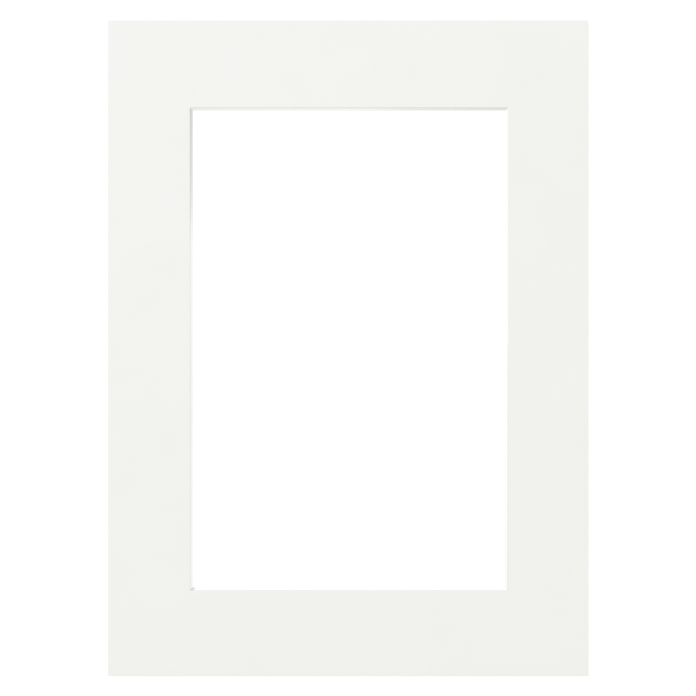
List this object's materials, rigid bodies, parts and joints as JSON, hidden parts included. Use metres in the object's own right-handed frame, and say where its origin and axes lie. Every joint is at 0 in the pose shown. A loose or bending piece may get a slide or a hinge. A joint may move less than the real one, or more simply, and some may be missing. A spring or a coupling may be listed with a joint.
{
  "type": "picture mount",
  "caption": "Flat rectangular window mount of white board, with a bevel-cut opening that shows the picture behind it in a frame.",
  "frame": {"origin": "middle of the mount's back face, which it rests on", "axes": "+Z out of the front face, +Y towards the top of the picture, +X to the right as seen from the front"},
  "size_m": [0.292, 0.3984, 0.0016],
  "materials": {
    "mount_board": "uncoated off-white face paper with a fine tooth, bonded to a whiter core that shows on the cut faces"
  },
  "bodies": {
    "root": {"mount_board": "mount_board"}
  },
  "joints": []
}
